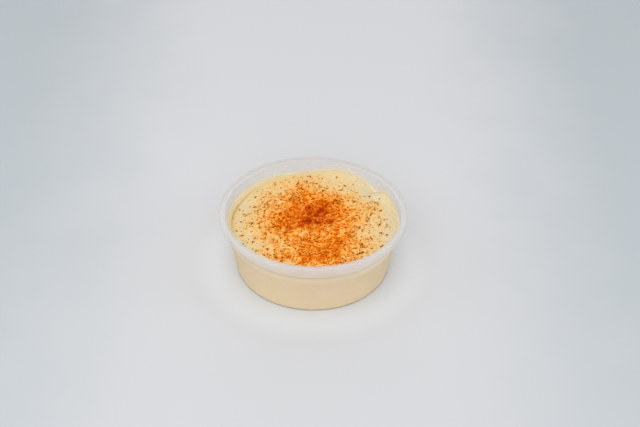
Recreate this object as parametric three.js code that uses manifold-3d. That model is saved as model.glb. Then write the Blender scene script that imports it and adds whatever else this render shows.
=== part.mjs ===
// A round, lidless deli tub filled with hummus, dusted with paprika and dark herb flakes.
//
// Millimetres, +Z up. The origin is the middle of the tub's foot, and +Y is the back.
// Two pieces: the thin-walled tub, and the hummus, a solid from the tub's floor up to its
// uneven top, with the larger flakes fused to it.

import * as THREE from "three";
import { mergeVertices } from "three/addons/utils/BufferGeometryUtils.js";
import Module from "manifold-3d";

const wasm = await Module();
wasm.setup();

// ---- Tub: driving dimensions ----

const TUB_HEIGHT = 41;
const LIP_RADIUS = 58.5; // outer face of the turned-down lip
const LIP_WIDTH = 3.1; // from the rim's inner edge to the lip's outer face
const LIP_ROUND = 1.4; // rounding of the rim's two top edges
const SKIRT_DROP = 3.6; // height of the turned-down lip
const WALL = 0.8;
const SEAT_RADIUS = 54.8; // outside of the upright band that a lid plugs into
const SHOULDER_Z = 30.4; // middle of the step below that band
const SHOULDER_RISE = 1.4; // height of the sloping step
const BODY_TOP_RADIUS = 53.3; // outside of the tapered body, just under the step
const BODY_BASE_RADIUS = 48.4; // outside of the tapered body, just above the foot
const FOOT_ROUND = 1.2; // rounding between the body and the foot
const FOOT_RING_WIDTH = 3.6; // flat ring that the tub stands on
const FOOT_RECESS = 0.7; // how far the floor panel is raised inside that ring
const RECESS_SLOPE = 1; // width of the slope between ring and panel

// ---- Hummus: driving dimensions ----

const GAP = 0.3; // clearance between the hummus and the tub
const LEVEL = 31.4; // mean height of the paste's surface
const TILT = 0.3; // how much the right side stands higher than the middle
const EDGE_LEVEL = 30.7; // height at which the paste meets the wall where nothing is smeared
const EDGE_WIDTH = 5; // how far from the wall the surface starts to bend to that height

// Paste smeared up the wall, by its compass angle in degrees from +X towards +Y. A notch in
// the smear has a negative rise.
const SMEARS = [
  { angle: 70, halfWidth: 16, rise: 3.2 },
  { angle: 30, halfWidth: 8, rise: 3.2 },
  { angle: 42.5, halfWidth: 5.5, rise: -1.5 },
  { angle: 124, halfWidth: 9, rise: 0.5 },
  { angle: 250, halfWidth: 24, rise: 0.5 },
  { angle: 318, halfWidth: 18, rise: 0.6 },
];

const HOLLOW = { x: 1, y: 9, reachX: 14, reachY: 12, depth: 2.3 };
const FRONT_DIP = { x: 12, y: -27, reachX: 17, reachY: 10, depth: 1 };
const LEFT_SWELL = { x: -33, y: -8, reachX: 12, reachY: 20, depth: -0.8 };
const RIGHT_SWELL = { x: 36, y: 4, reachX: 12, reachY: 22, depth: -0.7 };

// A low crest left by the spoon, curving round the front of the hollow.
const CREST = { x: 3, y: -5.6, bend: 0.0225, middle: -9, reach: 24, halfWidth: 3.4, height: 1.3 };

// A crease where the paste along the left wall folds over the rest.
const CREASE = { inset: 3, angle: 166, halfWidth: 28, reach: 0.75, depth: 1 };

// ---- Flakes: driving dimensions ----

const FLAKE_COUNT = 50; // scattered flakes, besides the marked ones
const FLAKE_LENGTHS = { longest: 2.4, shortest: 1.3 };
const FLAKE_THICKNESS = 0.7; // half of it is sunk in the paste
const FLAKE_BREADTH = 0.42; // mean breadth of a scattered flake, as a share of its length
const MARKED_BREADTH = 0.26; // breadth of a marked flake, as a share of its length
const LEAST_BREADTH = 0.9; // least breadth of a marked flake
const SCATTER_RADII = { inner: 15, outer: 50 };
const SCATTER_SEED = 4127;
const FLAKE_SPACING = 2.6; // least distance between two flakes' middles

// The flakes that stand out, with their place, length and compass turn in degrees.
const MARKED_FLAKES = [
  { x: 28.9, y: -30.3, length: 5.6, turn: 29 },
  { x: 41.1, y: -3.6, length: 5.2, turn: 74 },
  { x: 40.5, y: 19.5, length: 4.2, turn: -66 },
  { x: 17.7, y: 33.8, length: 4, turn: 31 },
  { x: -24.3, y: -6.1, length: 3.9, turn: 25 },
  { x: -10.8, y: 40.4, length: 3.8, turn: 66 },
  { x: -38, y: -3.9, length: 3.8, turn: 68 },
  { x: -28.7, y: -14, length: 3.8, turn: -89 },
  { x: -43.7, y: -15.5, length: 3.4, turn: 13 },
  { x: -21.5, y: -35.8, length: 3.4, turn: -22 },
  { x: 42.4, y: -23, length: 3.4, turn: 40 },
  { x: -37.3, y: 14.7, length: 3.2, turn: 35 },
  { x: 2.6, y: -19.2, length: 3.2, turn: -5 },
  { x: 19.9, y: 38.6, length: 2.6, turn: -40 },
  { x: 41.3, y: 5.1, length: 2.4, turn: 80 },
  { x: 35.9, y: 27.7, length: 2.3, turn: 20 },
  { x: 31.1, y: -25, length: 2.3, turn: -35 },
  { x: -30.7, y: 10.2, length: 2.2, turn: 70 },
  { x: -47.1, y: -10.8, length: 2.2, turn: -20 },
  { x: 41.9, y: -10.8, length: 2.2, turn: -10 },
  { x: 42.5, y: 12.7, length: 2.1, turn: 50 },
  { x: 46.1, y: -2.6, length: 2, turn: -60 },
  { x: -42.7, y: -23.2, length: 2, turn: 30 },
  { x: 8.3, y: 34.6, length: 2, turn: 10 },
];

// ---- Mesh fineness ----

const RINGS = 16; // rings of the paste's top; ring k has 6 * k points
const TURN_STEPS = 6 * RINGS; // steps round the axis, the same for the tub and the paste
const RING_CROWDING = 1.25; // above 1, rings lie closer together towards the wall
const SIDE_STEP = 0.3; // least height between two rings of the paste's side
const ROUND_STEPS = 3; // steps in each small rounding
const FLAKE_SIDES = 6;
const FLAKE_BANDS = 4;

// ---- Small helpers ----

const radians = THREE.MathUtils.degToRad;
const bump = (distance, reach) => Math.exp(-((distance / reach) ** 2));

// The smaller turn between two compass angles, in degrees.
function angleBetween(a, b) {
  const turn = Math.abs(a - b) % 360;
  return Math.min(turn, 360 - turn);
}

// Points of an arc in a lathe profile, as [radius, height] pairs.
function arc(centreR, centreZ, radius, fromDegrees, toDegrees) {
  const points = [];
  for (let i = 0; i <= ROUND_STEPS; i++) {
    const angle = radians(THREE.MathUtils.lerp(fromDegrees, toDegrees, i / ROUND_STEPS));
    points.push([centreR + radius * Math.cos(angle), centreZ + radius * Math.sin(angle)]);
  }
  return points;
}

// Park and Miller's random numbers, between 0 and 1.
function randomNumbers(seed) {
  let state = seed;
  return () => {
    state = (state * 16807) % 2147483647;
    return state / 2147483647;
  };
}

// Evenly spread numbers between 0 and 1: the digits of index in the base, mirrored.
function spreadNumber(index, base) {
  let value = 0;
  let share = 1 / base;
  for (let rest = index; rest > 0; rest = Math.floor(rest / base)) {
    value += (rest % base) * share;
    share /= base;
  }
  return value;
}

// ---- Tub ----

const shoulderTop = SHOULDER_Z + SHOULDER_RISE / 2;
const shoulderFoot = SHOULDER_Z - SHOULDER_RISE / 2;
const rimInner = LIP_RADIUS - LIP_WIDTH;
const floorTop = FOOT_RECESS + WALL;

// Radius of the tub's inner face at a height above its floor.
function innerRadius(z) {
  if (z >= shoulderTop) {
    return SEAT_RADIUS - WALL;
  }
  if (z <= shoulderFoot) {
    const share = (z - FOOT_ROUND) / (shoulderFoot - FOOT_ROUND);
    return THREE.MathUtils.lerp(BODY_BASE_RADIUS, BODY_TOP_RADIUS, share) - WALL;
  }
  const share = (z - shoulderFoot) / SHOULDER_RISE;
  return THREE.MathUtils.lerp(BODY_TOP_RADIUS, SEAT_RADIUS, share) - WALL;
}

// Half of the tub's section, from the axis under the floor round to the axis above it.
function tubProfile() {
  const footOuter = BODY_BASE_RADIUS - FOOT_ROUND;
  const footInner = footOuter - FOOT_RING_WIDTH;
  const outerRound = TUB_HEIGHT - LIP_ROUND;
  const skirtFoot = TUB_HEIGHT - SKIRT_DROP;
  const lidStop = TUB_HEIGHT - WALL;
  const innerFlare = rimInner - (SEAT_RADIUS - WALL);
  const floorCorner = floorTop + FOOT_ROUND;
  return [
    [0, FOOT_RECESS],
    [footInner - RECESS_SLOPE, FOOT_RECESS],
    [footInner, 0],
    ...arc(footOuter, FOOT_ROUND, FOOT_ROUND, -90, 0),
    [BODY_TOP_RADIUS, shoulderFoot],
    [SEAT_RADIUS, shoulderTop],
    ...arc(SEAT_RADIUS + WALL, lidStop - WALL, WALL, 180, 90),
    ...arc(LIP_RADIUS - LIP_ROUND, outerRound, LIP_ROUND - WALL, 90, 0),
    [LIP_RADIUS - WALL, skirtFoot],
    [LIP_RADIUS, skirtFoot],
    ...arc(LIP_RADIUS - LIP_ROUND, outerRound, LIP_ROUND, 0, 90),
    ...arc(rimInner, TUB_HEIGHT - innerFlare, innerFlare, 90, 180),
    [SEAT_RADIUS - WALL, shoulderTop],
    [BODY_TOP_RADIUS - WALL, shoulderFoot],
    [innerRadius(floorCorner), floorCorner],
    [innerRadius(floorTop) - FOOT_ROUND, floorTop],
    [0, floorTop],
  ];
}

function tubGeometry() {
  const profile = tubProfile().map(([r, z]) => new THREE.Vector2(r, z));
  return new THREE.LatheGeometry(profile, TURN_STEPS).rotateX(Math.PI / 2);
}

// ---- Hummus ----

// Height at which the paste meets the wall, by compass angle.
function contactHeight(degrees) {
  let z = EDGE_LEVEL;
  for (const smear of SMEARS) {
    z += smear.rise * bump(angleBetween(degrees, smear.angle), smear.halfWidth);
  }
  return z;
}

function oval(shape, x, y) {
  return shape.depth * bump((x - shape.x) / shape.reachX, 1) * bump((y - shape.y) / shape.reachY, 1);
}

function crestHeight(x, y) {
  const ridgeY = CREST.y - CREST.bend * (x - CREST.x) ** 2;
  return CREST.height * bump(y - ridgeY, CREST.halfWidth) * bump(x - CREST.middle, CREST.reach);
}

function creaseDepth(degrees, inset) {
  const along = bump(angleBetween(degrees, CREASE.angle), CREASE.halfWidth);
  return CREASE.depth * bump(inset - CREASE.inset, CREASE.reach) * along;
}

// Gentle unevenness of spooned paste.
function ripple(x, y) {
  const long = 0.35 * Math.sin(x / 7.3 + 1.1) * Math.cos(y / 6.1 + 0.4);
  const cross = 0.22 * Math.sin((0.6 * x + y) / 4.2) * Math.cos((x - 0.4 * y) / 5.7 + 2);
  return long + cross;
}

// Height of the paste's top surface at a place in plan.
function surfaceHeight(x, y) {
  const radius = Math.hypot(x, y);
  const degrees = THREE.MathUtils.radToDeg(Math.atan2(y, x));
  const edge = contactHeight(degrees);
  const inset = innerRadius(edge) - GAP - radius;
  let z = LEVEL + (TILT * x) / SEAT_RADIUS + ripple(x, y) + crestHeight(x, y);
  for (const shape of [HOLLOW, FRONT_DIP, LEFT_SWELL, RIGHT_SWELL]) {
    z -= oval(shape, x, y);
  }
  z += (edge - z) * bump(Math.max(inset, 0), EDGE_WIDTH);
  return z - creaseDepth(degrees, inset);
}

// Adds a closed band of quads between two rings of vertex numbers, the second one lower.
function joinRings(indices, upper, lower) {
  for (let i = 0; i < TURN_STEPS; i++) {
    const next = (i + 1) % TURN_STEPS;
    indices.push(upper[i], lower[i], lower[next]);
    indices.push(upper[i], lower[next], upper[next]);
  }
}

// Adds the triangles between ring k - 1 and ring k of a disc whose ring k has 6 * k points.
function joinDiscRings(indices, inner, outer, k) {
  for (let sector = 0; sector < 6; sector++) {
    for (let i = 0; i < k; i++) {
      const near = inner[(sector * (k - 1) + i) % inner.length];
      const left = outer[sector * k + i];
      const right = outer[(sector * k + i + 1) % outer.length];
      indices.push(near, left, right);
      if (i < k - 1) {
        const nextNear = inner[(sector * (k - 1) + i + 1) % inner.length];
        indices.push(near, right, nextNear);
      }
    }
  }
}

// The bare paste: a disc of rings for its top, side bands that follow the wall, a flat base.
function pasteGeometry() {
  const positions = [];
  const indices = [];
  const addPoint = (x, y, z) => {
    positions.push(x, y, z);
    return positions.length / 3 - 1;
  };
  const ringOf = (count, place) =>
    Array.from({ length: count }, (_, i) => addPoint(...place(-90 + (360 * i) / count)));

  let inner = [addPoint(0, 0, surfaceHeight(0, 0))];
  for (let k = 1; k <= RINGS; k++) {
    const share = 1 - (1 - k / RINGS) ** RING_CROWDING;
    const outer = ringOf(6 * k, (degrees) => {
      const reach = innerRadius(contactHeight(degrees)) - GAP;
      const x = share * reach * Math.cos(radians(degrees));
      const y = share * reach * Math.sin(radians(degrees));
      return [x, y, k === RINGS ? contactHeight(degrees) : surfaceHeight(x, y)];
    });
    joinDiscRings(indices, inner, outer, k);
    inner = outer;
  }

  const cornerZ = floorTop + FOOT_ROUND + GAP;
  const sideHeights = [shoulderTop, shoulderFoot, cornerZ, floorTop + GAP];
  let upper = inner;
  sideHeights.forEach((height, step) => {
    const cornerInset = height < cornerZ ? FOOT_ROUND : 0;
    const lower = ringOf(TURN_STEPS, (degrees) => {
      const z = Math.min(height, contactHeight(degrees) - SIDE_STEP * (step + 1));
      const reach = innerRadius(z) - GAP - cornerInset;
      return [reach * Math.cos(radians(degrees)), reach * Math.sin(radians(degrees)), z];
    });
    joinRings(indices, upper, lower);
    upper = lower;
  });
  const baseMiddle = addPoint(0, 0, floorTop + GAP);
  upper.forEach((point, i) => indices.push(baseMiddle, upper[(i + 1) % TURN_STEPS], point));

  const geometry = new THREE.BufferGeometry();
  geometry.setAttribute("position", new THREE.Float32BufferAttribute(positions, 3));
  geometry.setIndex(indices);
  return geometry;
}

// The marked flakes, then the scattered ones from the largest down, spread evenly.
function flakePlaces() {
  const random = randomNumbers(SCATTER_SEED);
  const flakes = MARKED_FLAKES.map((flake) => {
    return { ...flake, breadth: Math.max(MARKED_BREADTH * flake.length, LEAST_BREADTH) };
  });
  for (let i = 0; flakes.length < MARKED_FLAKES.length + FLAKE_COUNT; i++) {
    const areaShare = spreadNumber(i + 1, 2);
    const innerSquare = SCATTER_RADII.inner ** 2;
    const radius = Math.sqrt(THREE.MathUtils.lerp(innerSquare, SCATTER_RADII.outer ** 2, areaShare));
    const angle = 2 * Math.PI * spreadNumber(i + 1, 3);
    const sizeShare = (flakes.length - MARKED_FLAKES.length) / FLAKE_COUNT;
    const length = THREE.MathUtils.lerp(FLAKE_LENGTHS.longest, FLAKE_LENGTHS.shortest, sizeShare);
    const breadth = length * FLAKE_BREADTH * (0.7 + 0.6 * random());
    const turn = 360 * random();
    const x = radius * Math.cos(angle);
    const y = radius * Math.sin(angle);
    const isClear = flakes.every((flake) => Math.hypot(flake.x - x, flake.y - y) > FLAKE_SPACING);
    if (isClear) {
      flakes.push({ x, y, length, turn, breadth });
    }
  }
  return flakes;
}

// One flake: a flattened lens that follows the slope of the paste under it.
function flakeGeometry({ x, y, length, turn, breadth }) {
  const step = 0.5;
  const slopeX = (surfaceHeight(x + step, y) - surfaceHeight(x - step, y)) / (2 * step);
  const slopeY = (surfaceHeight(x, y + step) - surfaceHeight(x, y - step)) / (2 * step);
  const normal = new THREE.Vector3(-slopeX, -slopeY, 1).normalize();
  const lean = new THREE.Quaternion().setFromUnitVectors(new THREE.Vector3(0, 0, 1), normal);
  return new THREE.SphereGeometry(0.5, FLAKE_SIDES, FLAKE_BANDS)
    .rotateX(Math.PI / 2)
    .scale(length, breadth, FLAKE_THICKNESS)
    .rotateZ(radians(turn))
    .applyQuaternion(lean)
    .translate(x, y, surfaceHeight(x, y));
}

function toSolid(geometry) {
  const bare = geometry.clone();
  bare.deleteAttribute("normal");
  bare.deleteAttribute("uv");
  const merged = mergeVertices(bare, 1e-4);
  const vertProperties = new Float32Array(merged.attributes.position.array);
  const triVerts = new Uint32Array(merged.index.array);
  return new wasm.Manifold(new wasm.Mesh({ numProp: 3, vertProperties, triVerts }));
}

function toGeometry(solid) {
  const { vertProperties, triVerts } = solid.getMesh();
  const geometry = new THREE.BufferGeometry();
  geometry.setAttribute("position", new THREE.BufferAttribute(vertProperties, 3));
  geometry.setIndex(new THREE.BufferAttribute(triVerts, 1));
  geometry.computeVertexNormals();
  return geometry;
}

function hummusGeometry() {
  let solid = toSolid(pasteGeometry());
  for (const flake of flakePlaces()) {
    solid = solid.add(toSolid(flakeGeometry(flake)));
  }
  return toGeometry(solid);
}

// ---- The object ----

const frostedPlastic = new THREE.MeshStandardMaterial({
  color: 0xdcd8d0,
  roughness: 0.45,
  metalness: 0,
  transparent: true,
  opacity: 0.5,
});
const creamPaste = new THREE.MeshStandardMaterial({
  color: 0xe9d3a0,
  roughness: 0.7,
  metalness: 0,
});

function namedMesh(name, geometry, material) {
  const mesh = new THREE.Mesh(geometry, material);
  mesh.name = name;
  return mesh;
}

const hummusTub = new THREE.Group();
hummusTub.add(namedMesh("tub", tubGeometry(), frostedPlastic));
hummusTub.add(namedMesh("hummus", hummusGeometry(), creamPaste));

export default hummusTub;
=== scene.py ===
"""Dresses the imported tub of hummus.

The tub becomes a fine frosted shell, smeared with paste just above the paste's edge. The
hummus becomes a fine height field that reaches just into the tub's wall. Paprika, herb
specks and flakes lie on it as joined meshes.

Lengths are in millimetres until a mesh is made. +Y is the back, and angles round the tub
run in degrees from +X towards +Y. A reach is how far a soft bump spreads from its middle.
"""

import math

import bmesh
import bpy
import numpy as np
from mathutils import Matrix, Vector


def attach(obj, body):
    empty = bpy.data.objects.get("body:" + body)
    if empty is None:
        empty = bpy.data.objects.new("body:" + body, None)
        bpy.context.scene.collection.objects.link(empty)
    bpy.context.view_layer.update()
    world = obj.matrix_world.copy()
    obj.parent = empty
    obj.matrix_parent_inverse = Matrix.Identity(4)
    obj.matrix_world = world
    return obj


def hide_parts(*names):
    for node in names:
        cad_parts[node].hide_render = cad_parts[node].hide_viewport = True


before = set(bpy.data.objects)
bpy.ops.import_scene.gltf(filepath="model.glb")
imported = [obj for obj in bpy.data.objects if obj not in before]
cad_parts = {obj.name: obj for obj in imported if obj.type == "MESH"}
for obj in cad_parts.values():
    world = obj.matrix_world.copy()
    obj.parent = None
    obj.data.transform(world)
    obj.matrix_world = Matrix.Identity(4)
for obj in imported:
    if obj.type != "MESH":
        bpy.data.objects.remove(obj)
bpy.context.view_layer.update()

METRES = 0.001  # one millimetre

# ---- Tub, as in the CAD ----

TUB_HEIGHT = 41
LIP_RADIUS = 58.5
LIP_WIDTH = 3.1  # from the rim's inner edge to the lip's outer face
LIP_ROUND = 1.4
SKIRT_DROP = 3.6  # height of the turned-down lip
WALL = 0.8
SEAT_RADIUS = 54.8  # outside of the band that a lid plugs into
SHOULDER_Z = 30.4  # middle of the step below that band
SHOULDER_RISE = 1.4
BODY_TOP_RADIUS = 53.3
BODY_BASE_RADIUS = 48.4
FOOT_ROUND = 1.2
FOOT_RING_WIDTH = 3.6
FOOT_RECESS = 0.7  # how far the floor panel is raised inside that ring
RECESS_SLOPE = 1

SHOULDER_TOP = SHOULDER_Z + SHOULDER_RISE / 2
SHOULDER_FOOT = SHOULDER_Z - SHOULDER_RISE / 2
RIM_INNER = LIP_RADIUS - LIP_WIDTH
FOOT_OUTER = BODY_BASE_RADIUS - FOOT_ROUND
FOOT_INNER = FOOT_OUTER - FOOT_RING_WIDTH
FLOOR_TOP = FOOT_RECESS + WALL

# ---- Hummus, as in the CAD ----

GAP = 0.3  # clearance between the hummus and the tub
LEVEL = 31.4
TILT = 0.3
EDGE_LEVEL = 30.7  # height at which the paste meets the wall
EDGE_WIDTH = 5  # how far from the wall the surface bends to that height
SMEARS = [  # angle, half width, rise of the paste's edge on the wall
    (70, 16, 3.2),
    (30, 8, 3.2),
    (42.5, 5.5, -1.5),
    (124, 9, 0.5),
    (250, 24, 0.5),
    (318, 18, 0.6),
]
OVALS = [  # x, y, reach in x, reach in y, depth: a swell has less than none
    (1, 9, 14, 12, 2.3),
    (12, -27, 17, 10, 1),
    (-33, -8, 12, 20, -0.8),
    (36, 4, 12, 22, -0.7),
]
CREST = {"x": 3, "y": -5.6, "bend": 0.0225, "middle": -9, "reach": 24}
CREST_HALF_WIDTH = 3.4
CREST_HEIGHT = 1.3
CREASE = {"inset": 3, "angle": 166, "half_width": 28, "reach": 0.75, "depth": 1}

FLAKE_COUNT = 50  # besides the marked ones
LONGEST_FLAKE = 2.4
SHORTEST_FLAKE = 1.3
FLAKE_BREADTH = 0.42  # share of its length
MARKED_BREADTH = 0.26
LEAST_BREADTH = 0.9  # of a marked flake
SCATTER_INNER = 15
SCATTER_OUTER = 50
SCATTER_SEED = 4127
FLAKE_SPACING = 2.6
MARKED_FLAKES = [  # x, y, length, turn, tint (0 dark red, 0.5 brown, 0.8 olive, 1 ochre)
    (28.9, -30.3, 5.6, 29, 0.3),
    (41.1, -3.6, 5.2, 74, 0.5),
    (40.5, 19.5, 4.2, -66, 0.95),
    (17.7, 33.8, 4, 31, 0.6),
    (-24.3, -6.1, 3.9, 25, 0),
    (-10.8, 40.4, 3.8, 66, 0.65),
    (-38, -3.9, 3.8, 68, 0.3),
    (-28.7, -14, 3.8, -89, 0.4),
    (-43.7, -15.5, 3.4, 13, 0.5),
    (-21.5, -35.8, 3.4, -22, 0.1),
    (42.4, -23, 3.4, 40, 0.3),
    (-37.3, 14.7, 3.2, 35, 0.6),
    (2.6, -19.2, 3.2, -5, 0.2),
    (19.9, 38.6, 2.6, -40, 0.5),
    (41.3, 5.1, 2.4, 80, 0.75),
    (35.9, 27.7, 2.3, 20, 0.5),
    (31.1, -25, 2.3, -35, 0.8),
    (-30.7, 10.2, 2.2, 70, 0.5),
    (-47.1, -10.8, 2.2, -20, 0.5),
    (41.9, -10.8, 2.2, -10, 0.2),
    (42.5, 12.7, 2.1, 50, 0.8),
    (46.1, -2.6, 2, -60, 0.9),
    (-42.7, -23.2, 2, 30, 0.6),
    (8.3, 34.6, 2, 10, 0.3),
]

# ---- Fine meshes ----

TURN_STEPS = 288  # steps round the tub
ROUND_STEPS = 8  # steps in each small rounding
PROFILE_STEP = 1
TUB_EDGE_ANGLE = 35  # faces that meet at more degrees than this show an edge
RINGS = 128
SECTORS = 6  # ring k has this many times k points
RING_START = -90
RING_CROWDING = 1.12  # above 1, rings lie closer together towards the wall
INTO_WALL = 0.15  # how far the paste reaches into the tub's wall
FOOT_SKIN = 0.35  # clear plastic left outside the paste at the foot's corner
SIDE_STEP = 0.3
PASTE_EDGE_ANGLE = 50
SLOPE_STEP = 0.4

# ---- Where the plastic differs, and where light and shade are painted on it ----

FRONT_ANGLE = -92  # where the painted shade along the shoulder is darkest
LEDGE_REACH = 1.2  # how far that painted shade spreads up and down
LEDGE_HALF_WIDTH = 25  # how far round the painted shade keeps dark
LEDGE_LEAST = 0.3  # how dark the painted shade stays all the way round
UNDER_LEDGE_Z = 27.4  # where painted light makes the wall palest, just under the shoulder
UNDER_LEDGE_REACH = 1.8
DENSE_HALF_WIDTH = 60  # where the band under the lip is denser
PAINTED_LIGHT_BAND = {"angle": -36, "half_width": 22, "z": 29.5, "reach": 3.2}  # a patch of painted light on the right of the wall
FILM_HEIGHT = 2.2  # of the smear of paste on the wall, and its rises: angle, half width, height
FILM_RISES = [(172, 34, 4.5), (115, 18, 1), (66, 22, 3.5), (10, 26, 4.5)]

# ---- Small forms of the paste ----

# Patterns of smooth noise: spacing, strength, and a shift in x and y that tells them apart.
PASTE_SEED = 3
SMALL_LUMPS = (1.1, 0.8, 40, 0)
WIDE_LUMPS = (2.4, 0.25, 0, 0)
PASTE_GRAIN = (0.75, 0.08, 0, 70)
SPOON_MARKS = (1.3, 0.07, 0, 0)
WIDE_EDGE_WAVES = (3.3, 0.3, 0, 0)
SMALL_EDGE_WAVES = (1.4, 0.2, 0, 0)

LUMP_HEIGHT = 0.3
MARKS_SLANT = 0.35  # the spoon marks run a little slantwise
MARKS_SHORTNESS = 0.12  # the smaller this is, the longer they run
EDGE_CALM = 0.6  # how much flatter all this is at the wall
EDGE_CALM_REACH = 2.5
EDGE_WAVE_RADIUS = 54
EDGE_WAVE_REACH = 2
EDGE_COLOUR_REACH = 2.6

# ---- Where the paprika fell ----

DUST_SEED = 8
SMALL_CLUMPS = (4.2, 0.26, 31, 0)
WIDE_CLUMPS = (7.5, 0.24, 0, 57)
HOLLOW_SHARE = 0.8
DUST_FIELD = {"x": -1.9, "y": -9.2, "reach_x": 35, "reach_y": 47.5, "falloff": 3.7}
FIELD_COVER = 1.03
LEAST_COVER = 0.035
COVER_PATCHES = [  # x, y, reach in x, reach in y, gain of cover
    (-18, -21.5, 22, 15, -0.41),
    (1, -11, 13, 4.5, -0.33),
    (-24, 13, 9, 9, -0.16),
    (-14, 24, 7, 7, -0.15),
    (12, 37, 12, 8, -0.18),
    (25, -12, 8, 8, -0.22),
    (13, -24, 7, 7, -0.06),
    (-35, 0, 8, 13, -0.12),
    (-36, -22, 7, 8, -0.06),
    (35, 28, 8, 8, -0.08),
    (35, -6, 8, 11, -0.1),
    (36, 12, 8, 10, 0.12),
    (-10, 37, 9, 8, 0.09),
    (4, -36, 12, 8, 0.2),
    (1, 24, 7, 7, 0.24),
    (13, -11, 6, 6, 0.17),
    (13, 1, 6, 6, 0.15),
    (-25, 35, 8, 7, 0.07),
    (20, 36, 12, 7, 0.05),
    (-38, -12, 8, 7, 0.07),
]
DARK_HEAP = {"x": 2, "y": 8, "reach_x": 13, "reach_y": 14, "strength": 0.54}
DARK_SPOTS_AND_SHADE = [  # x, y, reach: the darkest clusters in and round the heap; the three just behind the crest, left of the middle, are painted shade
    (-3.2, 1, 2.6),
    (2.8, -0.4, 2),
    (5, 14.8, 2.4),
    (3, 12.6, 1.4),
    (-3.2, 16.8, 2),
    (-2.3, 4.5, 1.8),
    (1.8, 9.6, 1.3),
    (-7.2, -2.8, 2.2),
    (10.9, 1.9, 2),
    (8.3, 11.2, 1.4),
    (-6, 2.2, 1.6),
]
DARK_SPOT_STRENGTH = 0.8
DUSTLESS_REACH = 1.8  # how near to the wall the dust fades out, and grains thin out
GRAINLESS_REACH = 6
LEAST_INSET = 1

FULL_STAIN = 0.65  # how deeply the finest dust colours the paste
STAIN_CONTRAST = 0.95  # how patchy that colour is where little fell
STAIN_CALM = 0.1
HEAP_AND_SHADE_STAIN = 0.17
HALO_STAIN = 0.22  # how much deeper it is right under a flake or speck
HALO_SHARE = 0.3  # of the topping's length
HALO_WIDTH = 0.25

# ---- Grains ----

# How likely a grain is to stay where it falls: where the dust clumps, covers and heaps up.
CLUMPING = {"mean": 0.45, "clumps": 0.9, "cover": 0.2, "heap": 0.35, "least": 0.03}
PLACE_REACH = 53
PLACES_TRIED = 40000  # in one go
LOOSE_COVER = 0.85  # below this cover the grains lie singly, and are browner
HEAP_AND_SHADE_TINT = 0.3
HOLLOW_TINT = 0.32

CORNER_SCALES = (0.75, 1.2)
CORNER_JITTER = 0.18
GRAIN_LEAN = 0.35
GRAIN_SINK = 0.25
GRAIN_BREADTHS = (0.6, 1.0)  # shares of its length
GRAIN_HEIGHTS = (0.3, 0.55)
SIZE_CROWDING = 1.5  # above 1, more of the grains are small

# ---- Flakes and specks ----

FLAKE_TINT_SEED = 22
FLAKE_TINTS = (0.1, 1)
DUSTED_TINT = 0.8  # how much redder a flake is under the dust
BARE_TINT = 0.4  # how much paler it is on the bare paste
FLAKE_FORM_SEED = 21
FLAKE_SIDES = 13
FLAKE_THICKNESS = 0.16
FLAKE_RAGGED = (0.72, 1.12)
CROWN_SHARE = 0.55
CROWN_RISE = 0.5  # share of the thickness
PEAK_RISE = 0.7
FLAKE_JITTER = 0.06
FLAKE_CURLS = (-0.1, 0.25)
CURL_RISE = 0.4
LONGEST_CURL = 3
FLAKE_BENDS = (-0.5, 0.5)  # share of its breadth
FLAKE_LIFT = 0.14

SPECK_COUNT = 170
SPECK_PLACE_SEED = 32
SPECK_FORM_SEED = 31
SPECK_FIELD = {"y": -8, "reach_x": 48, "reach_y": 39, "inner": 0.02}
SMALLEST_SPECK = 0.8
LARGEST_SPECK = 1.6
SPECK_BREADTHS = (0.5, 0.9)
SPECK_HEIGHT = 0.3
SPECK_TINTS = (0.5, 1)

# ---- Colours, in linear light ----

OUTER_PLASTIC = ((0.73, 0.695, 0.67), (0.76, 0.725, 0.70))
# The inside is tinted bluer as a painted offset for the warm light that the paste throws on it;
# the flare, which faces the sky, is tinted less.
INNER_PLASTIC = (0.705, 0.78, 0.84)
FLARED_PLASTIC = (0.735, 0.75, 0.74)
MILKY_PLASTIC = ((0.815, 0.665, 0.535), (0.835, 0.685, 0.555))
# Painted light and shade on the plastic: pale and under_ledge are painted light, ledge is painted
# shade under the shoulder's step.
PAINTED_PLASTIC_LIGHT_AND_SHADE = [  # the tub's value, how strongly it colours, colour
    ("pale", 0.8, (0.93, 0.87, 0.83)),
    ("under_ledge", 0.85, (0.95, 0.83, 0.76)),
    ("ledge", 0.5, (0.53, 0.41, 0.355)),
]
SMEARED_PLASTIC = (0.87, 0.77, 0.52)
# Painted shadow on the plastic's foot, where it meets the floor.
FOOT_SHADOW = ("foot", 0.6, (0.51, 0.41, 0.335))
PLASTIC_ALPHA = (0.31, 0.34)
# pale and ledge make the plastic more solid where its painted light and painted shade lie.
ALPHA_GAINS = {"dense": 0.14, "pale": 0.3, "inside": -0.06, "filled": 0.08, "ledge": 0.2}

CREAM_STOPS = [
    (0.3, (0.73, 0.58, 0.325)),
    (0.55, (0.765, 0.63, 0.37)),
    (0.75, (0.80, 0.68, 0.425)),
]
CREAM_CLOUDS = [  # spacing, low and high of the noise, how strongly it colours, colour
    (22, 0.35, 0.65, 0.35, (0.745, 0.625, 0.35)),
    (9, 0.45, 0.62, 0.6, (0.71, 0.65, 0.43)),
    (13, 0.5, 0.64, 0.4, (0.82, 0.60, 0.35)),
]
RIGHT_CREAM = (0.765, 0.665, 0.45)
EDGE_CREAM = (0.79, 0.655, 0.42)
SIDE_CREAM = (0.855, 0.71, 0.40)
# Painted shade in the crease by the left wall.
CREASE_SHADE = (0.58, 0.38, 0.11)
STAIN_STOPS = [
    (0.14, (0.87, 0.58, 0.24)),
    (0.35, (0.97, 0.475, 0.105)),
    (0.55, (1.0, 0.36, 0.024)),
    (0.75, (0.99, 0.25, 0.005)),
    (1.0, (0.90, 0.145, 0.001)),
]
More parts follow.
